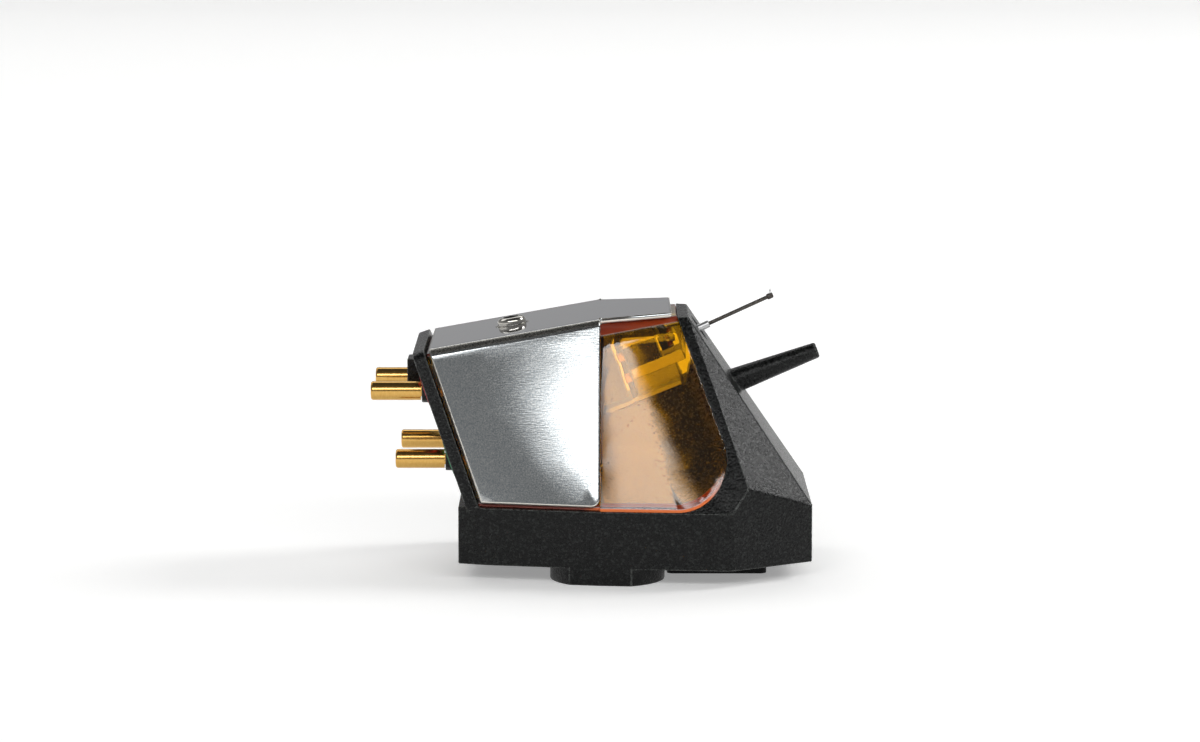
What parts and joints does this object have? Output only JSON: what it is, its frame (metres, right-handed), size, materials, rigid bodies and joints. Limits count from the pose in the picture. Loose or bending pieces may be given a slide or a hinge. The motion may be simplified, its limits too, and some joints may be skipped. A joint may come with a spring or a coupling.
{
  "type": "turntable stylus cartridge",
  "caption": "Moving-coil phono cartridge with a faceted black body, clear amber cover, folded steel top, rear output pins and a sprung stylus arm.",
  "frame": {"origin": "midway between the two mounting holes, on the mounting face", "axes": "+X to the cartridge's front, +Z from the mounting face towards the stylus"},
  "size_m": [0.0296, 0.0208, 0.0183],
  "materials": {
    "glass_filled_moulding": "fine speckled moulded black",
    "clear_amber": "clear amber, polished",
    "sheet_steel": "satin",
    "screw_steel": "bright",
    "gold": "gold plated, bright",
    "carrier_aluminium": "satin",
    "nickel_plate": "nickel plated",
    "pole_steel": "ground",
    "board_laminate": "laminate",
    "damper_rubber": "matt",
    "copper_wire": "enamelled copper",
    "boron": "dark, polished",
    "adhesive": "cured resin",
    "diamond": "polished",
    "plastic_red": "matt",
    "plastic_green": "matt",
    "plastic_white": "matt",
    "plastic_blue": "matt"
  },
  "bodies": {
    "cartridge": {"body_moulding": "glass_filled_moulding", "clear_cover": "clear_amber", "coil_board": "board_laminate", "generator_carrier": "carrier_aluminium", "lower_pole": "pole_steel", "magnet": "nickel_plate", "pin_blue": "gold", "pin_green": "gold", "pin_red": "gold", "pin_white": "gold", "set_screw": "screw_steel", "sheet_cover": "sheet_steel", "solder_tags": "gold", "upper_pole": "pole_steel", "washer_blue": "plastic_blue", "washer_green": "plastic_green", "washer_red": "plastic_red", "washer_white": "plastic_white"},
    "suspension": {"damper": "damper_rubber"},
    "stylus_arm": {"armature": "pole_steel", "coil_left": "copper_wire", "coil_right": "copper_wire", "cantilever_sleeve": "carrier_aluminium", "cantilever_rod": "boron", "bead": "adhesive", "stylus": "diamond"}
  },
  "joints": [
    {"name": "stylus_vertical", "type": "hinge", "parent": "cartridge", "child": "suspension", "pos_m": [0.00374, 0, 0.01456], "axis": [0, 1, 0], "range_deg": [-2.5, 5], "stiffness_Nm_per_rad": 0.0037},
    {"name": "stylus_lateral", "type": "hinge", "parent": "suspension", "child": "stylus_arm", "pos_m": [0.00374, 0, 0.01456], "axis": [-0.4163, 0, 0.9092], "range_deg": [-3, 3], "stiffness_Nm_per_rad": 0.0037}
  ]
}
